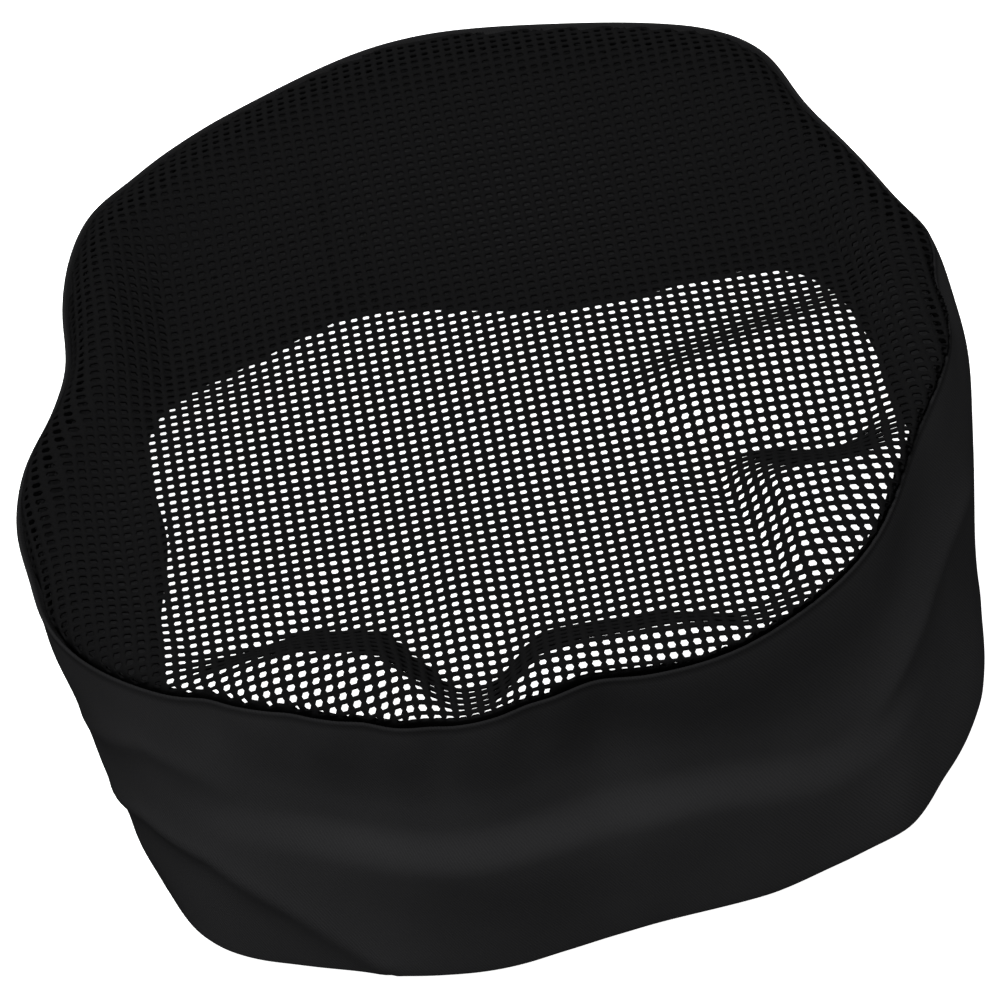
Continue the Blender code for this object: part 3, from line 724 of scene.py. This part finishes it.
def make_crown(material):
    """The knitted mesh: one cell of cloth round each hole, carried over the cap as one sheet.

    Returns it and the area of its cloth.
    """
    turn = math.radians(ROW_ANGLE)
    row = np.array((math.cos(turn), math.sin(turn)))
    column = np.array((-row[1], row[0]))
    reach = math.ceil(CROWN_REACH / min(HOLE_PITCH))
    i, j = np.meshgrid(np.arange(-reach, reach), np.arange(-reach, reach), indexing="ij")
    cells = np.stack((i.ravel(), j.ravel()), -1)

    def flat_at(steps):
        return CENTRE + steps[:, :1] * HOLE_PITCH[0] * row + steps[:, 1:] * HOLE_PITCH[1] * column

    roughly = np.linalg.norm(flat_at(cells.astype(float)) - CENTRE, axis=1) < CROWN_REACH
    cells = cells[roughly]
    depth = crown_surface(flat_at(cells.astype(float)))[1]
    cells, depth = cells[depth > -SEAM_ALLOWANCE], depth[depth > -SEAM_ALLOWANCE]
    open_cell = depth > HOLES_START

    corner_keys = {}
    corner_of = []
    for cell in cells.tolist():
        keys = [(2 * cell[0] + dx, 2 * cell[1] + dy) for dx, dy in CELL_CORNERS]
        corner_of.append([corner_keys.setdefault(key, len(corner_keys)) for key in keys])
    corners = flat_at(np.array(list(corner_keys), float) / 2.0)
    half = np.array(HOLE_HALF) / np.array(HOLE_PITCH)
    open_cells = cells[open_cell].astype(float)
    hole_steps = (open_cells[:, None, :] + np.array(HOLE_OUTLINE) * half).reshape(-1, 2)
    upper_corners, lower_corners = both_faces(corners)
    upper_holes, lower_holes = both_faces(flat_at(hole_steps))
    points = np.concatenate((upper_corners, lower_corners, upper_holes, lower_holes))

    sides = len(HOLE_OUTLINE)
    below = len(corners)
    hole_start = 2 * below
    floor_start = hole_start + len(upper_holes)
    patterns, plain = face_patterns(CELL_FACES), face_patterns(PLAIN_FACES)
    present = {tuple(cell) for cell in cells.tolist()}
    faces, opened = [], 0
    for number, cell in enumerate(cells.tolist()):
        mine = corner_of[number]
        at = {"c": mine, "b": [below + k for k in mine]}
        if open_cell[number]:
            at["h"] = range(hole_start + sides * opened, hole_start + sides * (opened + 1))
            at["g"] = range(floor_start + sides * opened, floor_start + sides * (opened + 1))
            opened += 1
        for pattern in patterns if open_cell[number] else plain:
            faces.append([at[letter][k] for letter, k in pattern])
        for (dx, dy), (first, second) in NEIGHBOURS.items():
            if (cell[0] + dx, cell[1] + dy) not in present:
                a, b = mine[first], mine[second]
                faces.append([b, a, below + a, below + b])
    area = len(cells) * HOLE_PITCH[0] * HOLE_PITCH[1]
    return add_mesh("crown_mesh", points, faces, material), area


# ------------------------ band and closure

def band_section():
    """The twill strip from its inner top edge, down and round the fold at the rim, up the outside
    and over into the seam, and how many of its points are on the inside."""
    shift = (INNER_PLY_AT_SEAM - INNER_PLY) * smooth((INNER_HEIGHTS - SHIFT_START) / SHIFT_HEIGHT)
    inner = list(zip(INNER_PLY + shift, INNER_HEIGHTS))
    outer = [(OUTER_PLY, z) for z in OUTER_HEIGHTS]
    edge = [(BAND_EDGE, z) for z in EDGE_HEIGHTS]
    return [*inner, *RIM_FOLD, *outer, *SEAM_TURN, *edge], len(inner) + len(RIM_FOLD)


def place_with_slit(inner_rows):
    """place() for the band, whose ends meet at the back above the slit and part below it."""

    def place_at(degrees, z, inset):
        part = SLIT_HALF_WIDTH * (1.0 - smooth((z - SLIT_HEIGHT + SLIT_RUN) / SLIT_RUN))
        along = (degrees - SLIT_ANGLE) / 360.0
        at = SLIT_ANGLE + part + along * (360.0 - 2.0 * part)
        edge = np.minimum(along, 1.0 - along) * 360.0 * MM_PER_DEGREE
        pinch = 1.0 - smooth(edge / PINCH_WIDTH)
        pinch = pinch * (1.0 - smooth((z - SLIT_HEIGHT) / PINCH_FADE))
        rows = np.arange(len(z))[:, None] < inner_rows
        closer = OUTER_PLY + (inset - OUTER_PLY) * (1.0 - PINCH * pinch)
        return place(at, z, np.where(rows, closer, inset))

    return place_at


def make_band(material):
    section, inner_rows = band_section()
    angles = (SLIT_ANGLE, SLIT_ANGLE + 360.0)
    place_at = place_with_slit(inner_rows)
    return strip("band_cloth", section, BAND_COLUMNS, angles, material, TWILL, place_at)


def make_interlining(material):
    path = [(INTERLINING_AT, z) for z in INTERLINING_HEIGHTS]
    angles = tuple(SLIT_ANGLE + past for past in INTERLINING_SPAN)
    return strip("band_lining", path, HIDDEN_COLUMNS, angles, material, INTERLINING)


def make_binding(material):
    outer = [(BINDING_OUTER, z) for z in TAPE_OUTER_HEIGHTS]
    inner = [(BINDING_INNER, z) for z in TAPE_INNER_HEIGHTS]
    path = [*outer, *TAPE_FOLD, *inner]
    angles = (SLIT_ANGLE, SLIT_ANGLE + 360.0)
    return strip("seam_tape", path, HIDDEN_COLUMNS, angles, material, BINDING)


def tab_stand_off(degrees):
    """How far the inner face of the tab stands off the band."""
    root = TAB_ANGLES[0]
    ramp = smooth((degrees - root) / (TAB_RAMP_END - root))
    return CLEARANCE + (TAB_INSIDE - CLEARANCE) * ramp


def tab_outer_face(degrees):
    """Inset of the outer face of the tab."""
    return -tab_stand_off(degrees) - TAB_THICKNESS


def make_tab(material, lining_material):
    def out(degrees):
        return tab_stand_off(degrees) + TAB_THICKNESS / 2.0

    def shell(less, half):
        angles = (TAB_ANGLES[0] + less / MM_PER_DEGREE, TAB_ANGLES[1] - less / MM_PER_DEGREE)
        heights = (TAB_HEIGHTS[0] + less, TAB_HEIGHTS[1] - less)
        return pad_points(angles, heights, out, half, TAB_CORNER - less, min(TAB_EDGE, 2.0 * half))

    shells = [shell(0.0, TAB_THICKNESS / 2.0), shell(TAB_TURNED_IN, TAB_HOLLOW_HALF)]
    lining = [shell(TAB_LINING_MARGIN, INTERLINING / 2.0)]
    return pad("tab_cloth", shells, material), pad("tab_lining", lining, lining_material)


def box_line(angles, heights, margin_angle=0.0, end_margin_angle=0.0):
    """Angles and heights of a sewn rectangle, all the way round, at margins inside a piece."""
    a0, a1 = angles[0] + margin_angle, angles[1] - end_margin_angle
    z0, z1 = heights[0] + STITCH_MARGIN, heights[1] - STITCH_MARGIN
    along = np.linspace(a0, a1, 40)
    up = np.linspace(z0, z1, 20)
    degrees = np.concatenate((along, np.full_like(up, a1), along[::-1], np.full_like(up, a0)))
    z = np.concatenate((np.full_like(along, z0), up, np.full_like(along, z1), up[::-1]))
    return degrees, z


def make_bar_tack(material):
    """Close upright stitches across the top of the slit."""
    spacing = TACK_PITCH / MM_PER_DEGREE
    low_z, middle_z, high_z = (SLIT_HEIGHT + above for above in TACK_HEIGHTS)
    degrees = np.arange(SLIT_ANGLE - TACK_HALF_ANGLE, SLIT_ANGLE + TACK_HALF_ANGLE, spacing)
    low = place(degrees, low_z, 0.0)
    high = place(degrees + spacing * TACK_LEAN, high_z, 0.0)
    normals = place(degrees, middle_z, -1.0) - place(degrees, middle_z, 0.0)
    return stitches("bar_tack", low, high, normals, material)


# ------------------------ materials

def new_material(name, colour, roughness, specular):
    """A material with the finish that is the same all over it. Returns it and its shader."""
    material = bpy.data.materials.new(name)
    material.use_nodes = True
    shader = material.node_tree.nodes["Principled BSDF"]
    shader.inputs["Base Color"].default_value = (*colour, 1.0)
    shader.inputs["Roughness"].default_value = roughness
    shader.inputs["Specular IOR Level"].default_value = specular
    return material, shader


def add_node(material, kind, **values):
    """A shader node. Values name its inputs, or its own settings where it has no such input."""
    node = material.node_tree.nodes.new(kind)
    for key, value in values.items():
        label = key.replace("_", " ")
        if label in node.inputs:
            node.inputs[label].default_value = value
        else:
            setattr(node, key, value)
    return node


def link(material, start, end):
    material.node_tree.links.new(start, end)


def bump(material, shader, heights):
    """Chains bump maps. Each of heights is (a node's output, height in millimetres)."""
    before = None
    for output, height in heights:
        node = add_node(material, "ShaderNodeBump", Strength=1.0, Distance=height * MM)
        link(material, output, node.inputs["Height"])
        if before:
            link(material, before.outputs["Normal"], node.inputs["Normal"])
        before = node
    link(material, before.outputs["Normal"], shader.inputs["Normal"])


def tint(material, shader, output, dark, light):
    """Base colour between two colours, by a value from 0 to 1."""
    ramp = add_node(material, "ShaderNodeValToRGB")
    ramp.color_ramp.elements[0].color = (*dark, 1.0)
    ramp.color_ramp.elements[1].color = (*light, 1.0)
    link(material, output, ramp.inputs["Fac"])
    link(material, ramp.outputs["Color"], shader.inputs["Base Color"])


def times_plus(material, value, factor, added=None):
    """A node's output times a number, plus another node's output if there is one."""
    kind = "MULTIPLY" if added is None else "MULTIPLY_ADD"
    node = add_node(material, "ShaderNodeMath", operation=kind)
    link(material, value, node.inputs[0])
    node.inputs[1].default_value = factor
    if added is not None:
        link(material, added, node.inputs[2])
    return node.outputs["Value"]


def woven(name, shades, roughness, specular, pitch, turned, rib_height, yarn_height):
    """A cloth between two greys, with ribs every pitch millimetres, turned on its flat UV map."""
    dark, light = grey(shades[0]), grey(shades[1])
    material, shader = new_material(name, light, roughness, specular)
    at = add_node(material, "ShaderNodeTexCoord")
    turn = add_node(material, "ShaderNodeMapping", Rotation=(0.0, 0.0, math.radians(turned)))
    link(material, at.outputs["UV"], turn.inputs["Vector"])
    # At scale 1 the wave texture has a wave every pi / 10
    ribs = add_node(
        material, "ShaderNodeTexWave",
        Scale=math.pi / 10.0 / pitch, Distortion=1.2, Detail=2.0, Detail_Scale=2.0,
    )
    link(material, turn.outputs["Vector"], ribs.inputs["Vector"])
    yarns = add_node(material, "ShaderNodeTexNoise", Scale=1.6 / pitch, Detail=3.0)
    link(material, at.outputs["UV"], yarns.inputs["Vector"])
    broad = add_node(material, "ShaderNodeTexNoise", Scale=0.05, Detail=2.0)
    link(material, at.outputs["UV"], broad.inputs["Vector"])
    faint = times_plus(material, broad.outputs["Fac"], BROAD_SHARE)
    weave = times_plus(material, ribs.outputs["Fac"], RIB_SHARE, yarns.outputs["Fac"])
    tint(material, shader, times_plus(material, weave, WEAVE_SHARE, faint), dark, light)
    bump(material, shader, ((ribs.outputs["Fac"], rib_height), (yarns.outputs["Fac"], yarn_height)))
    return material


def paint_fold_shade(material):
    """Paints shade on the tight fold along the crown seam by darkening its colour, so that it
    doesn't show as a bright line.
    """
    shader = material.node_tree.nodes["Principled BSDF"]
    colour = shader.inputs["Base Color"].links[0].from_socket
    at = add_node(material, "ShaderNodeTexCoord")
    split = add_node(material, "ShaderNodeSeparateXYZ")
    link(material, at.outputs["Object"], split.inputs["Vector"])
    share = add_node(material, "ShaderNodeMapRange")
    for label, value in zip(("From Min", "From Max", "To Min", "To Max"), FOLD_SHADE):
        share.inputs[label].default_value = value
    link(material, split.outputs["Z"], share.inputs["Value"])
    scaled = add_node(material, "ShaderNodeVectorMath", operation="SCALE")
    link(material, colour, scaled.inputs["Vector"])
    link(material, share.outputs["Result"], scaled.inputs["Scale"])
    link(material, scaled.outputs["Vector"], shader.inputs["Base Color"])


def fibrous(name, shades, roughness, specular, size, height):
    """A cloth or thread between two greys, with fine irregular fibres size millimetres across."""
    dark, light = grey(shades[0]), grey(shades[1])
    material, shader = new_material(name, light, roughness, specular)
    at = add_node(material, "ShaderNodeTexCoord")
    scale = 1.0 / (size * MM)
    fibres = add_node(material, "ShaderNodeTexNoise", Scale=scale, Detail=4.0, Roughness=0.6)
    link(material, at.outputs["Object"], fibres.inputs["Vector"])
    tint(material, shader, fibres.outputs["Fac"], dark, light)
    bump(material, shader, ((fibres.outputs["Fac"], height),))
    return material


def grey(value):
    return (value, value, value * 1.04)


def make_materials():
    cloths = {
        # Name, shades, roughness, specular, pitch, turned, rib height, yarn height
        "twill": woven("twill", (0.017, 0.047), 0.9, 0.0, 0.6, -25.0, 0.035, 0.04),
        # Name, shades, roughness, specular, size, height
        "crown_mesh": fibrous("knitted_mesh", (0.003, 0.0083), 0.9, 0.0, 0.35, 0.08),
        "interlining": fibrous("interlining", (0.05, 0.14), 0.9, 0.1, 0.3, 0.06),
        "binding_tape": woven("binding_tape", (0.015, 0.035), 0.9, 0.0, 0.5, 90.0, 0.05, 0.03),
        "thread": fibrous("thread", (0.014, 0.03), 0.8, 0.02, 0.12, 0.03),
        "hook_tape": fibrous("hook_tape", (0.01, 0.035), 0.7, 0.1, 0.5, 0.3),
        "loop_tape": fibrous("loop_tape", (0.015, 0.045), 0.9, 0.0, 0.4, 0.3),
        "label": woven("label", (0.03, 0.07), 0.7, 0.1, 0.25, 0.0, 0.02, 0.01),
    }
    # Painted shade on the twill's fold along the crown seam
    paint_fold_shade(cloths["twill"])
    return cloths


# ------------------------ camera, light and floor

def aim_camera():
    turn, tilt, roll = (math.radians(v) for v in (AZIMUTH, ELEVATION, ROLL))
    away = math.cos(tilt)
    back = Vector((math.sin(turn) * away, -math.cos(turn) * away, math.sin(tilt)))
    level = Vector((math.cos(turn), math.sin(turn), 0.0))
    up = back.cross(level)
    right = level * math.cos(roll) - up * math.sin(roll)
    above = level * math.sin(roll) + up * math.cos(roll)
    camera = bpy.data.objects.new("camera", bpy.data.cameras.new("camera"))
    camera.data.lens = LENS
    camera.data.clip_start = 0.05
    camera.data.clip_end = 20.0
    pose = Matrix((right, above, back)).transposed().to_4x4()
    pose.translation = (Vector(TARGET) + back * DISTANCE) * MM
    camera.matrix_world = pose
    bpy.context.scene.collection.objects.link(camera)
    bpy.context.scene.camera = camera


def add_area_light(name, position, size, power, aim=(0.0, 0.0, 0.0)):
    """A round soft light. Its position, its size and its aim are in metres."""
    data = bpy.data.lights.new(name, "AREA")
    data.shape = "DISK"
    data.size = size
    data.energy = power
    lamp = bpy.data.objects.new(name, data)
    lamp.location = position
    lamp.rotation_mode = "QUATERNION"
    lamp.rotation_quaternion = (Vector(aim) - Vector(position)).to_track_quat("-Z", "Y")
    lamp.visible_camera = False
    bpy.context.scene.collection.objects.link(lamp)


def make_studio():
    scene = bpy.context.scene
    scene.view_settings.view_transform = "Standard"
    world = bpy.data.worlds.new("studio")
    world.use_nodes = True
    background = world.node_tree.nodes["Background"]
    background.inputs["Color"].default_value = (1.0, 1.0, 1.0, 1.0)
    background.inputs["Strength"].default_value = 0.22
    scene.world = world
    bpy.ops.mesh.primitive_circle_add(
        vertices=96, radius=3.0, fill_type="NGON", location=(0.0, 0.0, -0.0004)
    )
    floor = bpy.context.active_object
    floor.name = "studio_floor"
    material, shader = new_material("floor_white", (0.85, 0.85, 0.85), 0.9, 0.1)
    grain = add_node(material, "ShaderNodeTexNoise", Scale=900.0, Detail=2.0)
    at = add_node(material, "ShaderNodeTexCoord")
    link(material, at.outputs["Object"], grain.inputs["Vector"])
    tint(material, shader, grain.outputs["Fac"], (0.84, 0.84, 0.84), (0.87, 0.87, 0.87))
    shader.inputs["Emission Color"].default_value = (1.0, 1.0, 1.0, 1.0)
    shader.inputs["Emission Strength"].default_value = 1.0
    floor.data.materials.append(material)
    floor.visible_diffuse = False
    floor.visible_glossy = False
    add_area_light("key", (-0.36, -0.33, 1.84), size=0.9, power=37.0)
    add_area_light("back_fill", (0.4, 1.5, 0.5), size=0.8, power=16.0)
    add_area_light("side_fill", (1.2, -0.45, 0.6), size=0.8, power=1.1)
    # Light that the bright table throws up into the cap
    add_area_light("table_glow", (0.0, -0.01, 0.001), size=0.13, power=0.05, aim=(0.0, -0.01, 0.1))


# ------------------------ the cap

def finish_piece(piece, body, node):
    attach(piece, body)
    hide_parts(node)
    return piece


def sew(name, body, node, line, inset, side):
    """A piece that is one line of stitches. line is its angles and its heights."""
    piece = seam_line(name, *line, inset, side, cloths["thread"])
    finish_piece(piece, body, node)


cloths = make_materials()
turns = np.arange(0.0, 360.01, OUTLINE_STEP)

band = finish_piece(make_band(cloths["twill"]), "cap", "band")
finish_piece(make_interlining(cloths["interlining"]), "cap", "band_interlining")
crown, crown_area = make_crown(cloths["crown_mesh"])
finish_piece(crown, "cap", "crown_mesh_panel")
finish_piece(make_binding(cloths["binding_tape"]), "cap", "seam_binding")

crown_line = (turns, CROWN_STITCH_HEIGHT)
sew("crown_stitches", "cap", "crown_seam_stitching", crown_line, CROWN_EDGE + MESH / 2.0, -1)
tape_line = (turns, TAPE_STITCH_HEIGHT)
sew("tape_stitches", "cap", "binding_stitching", tape_line, BINDING_INNER + BINDING / 2.0, -1)
finish_piece(make_bar_tack(cloths["thread"]), "cap", "slit_bar_tack")

tab, tab_lining = make_tab(cloths["twill"], cloths["interlining"])
finish_piece(tab, "tab", "closure_tab")
finish_piece(tab_lining, "tab", "tab_interlining")

for name, angles, body, node, out in (
    ("loop_tape", LOOP_ANGLES, "cap", "loop_strip", CLEARANCE + STRIP / 2),
    ("hook_tape", HOOK_ANGLES, "tab", "hook_strip", 2 * CLEARANCE + 1.5 * STRIP),
):
    shell = pad_points(
        angles, STRIP_HEIGHTS, lambda degrees: out, STRIP / 2, STRIP_CORNER, edge=STRIP / 2
    )
    finish_piece(pad(name, [shell], cloths[name]), body, node)

inner_face = INNER_PLY + TWILL / 2.0
line = box_line(LOOP_ANGLES, STRIP_HEIGHTS, STITCH_MARGIN_ANGLE, STITCH_MARGIN_ANGLE)
sew("loop_stitches", "cap", "loop_strip_stitching", line, inner_face, -1)
line = box_line(HOOK_ANGLES, STRIP_HEIGHTS, STITCH_MARGIN_ANGLE, STITCH_MARGIN_ANGLE)
sew("hook_stitches", "tab", "hook_strip_stitching", line, tab_outer_face(line[0]), 1)
line = box_line(TAB_ANGLES, TAB_HEIGHTS, STITCH_MARGIN_ANGLE, TAB_END_MARGIN_ANGLE)
sew("tab_stitches", "tab", "tab_edge_stitching", line, tab_outer_face(line[0]), 1)
line = box_line(ROOT_STITCH_ANGLES, TAB_HEIGHTS)
sew("root_stitches", "cap", "tab_root_stitching", line, inner_face, -1)

label_inset = BINDING_INNER + BINDING / 2.0 + CLEARANCE + LABEL / 2.0
label = pad_points(
    LABEL_ANGLES, LABEL_HEIGHTS, lambda degrees: -label_inset, LABEL / 2, LABEL_CORNER, LABEL_EDGE
)
finish_piece(pad("care_tag", [label], cloths["label"]), "cap", "care_label")
start, end = LABEL_ANGLES[0] + LABEL_MARGIN_ANGLE, LABEL_ANGLES[1] - LABEL_MARGIN_ANGLE
line = (np.linspace(start, end, 40), LABEL_STITCH_HEIGHT)
sew("label_stitches", "cap", "label_stitching", line, label_inset + LABEL / 2.0, -1)

band_length = float(step_lengths(place(turns, GIRTH_HEIGHT, 1.0)).sum())

aim_camera()
make_studio()
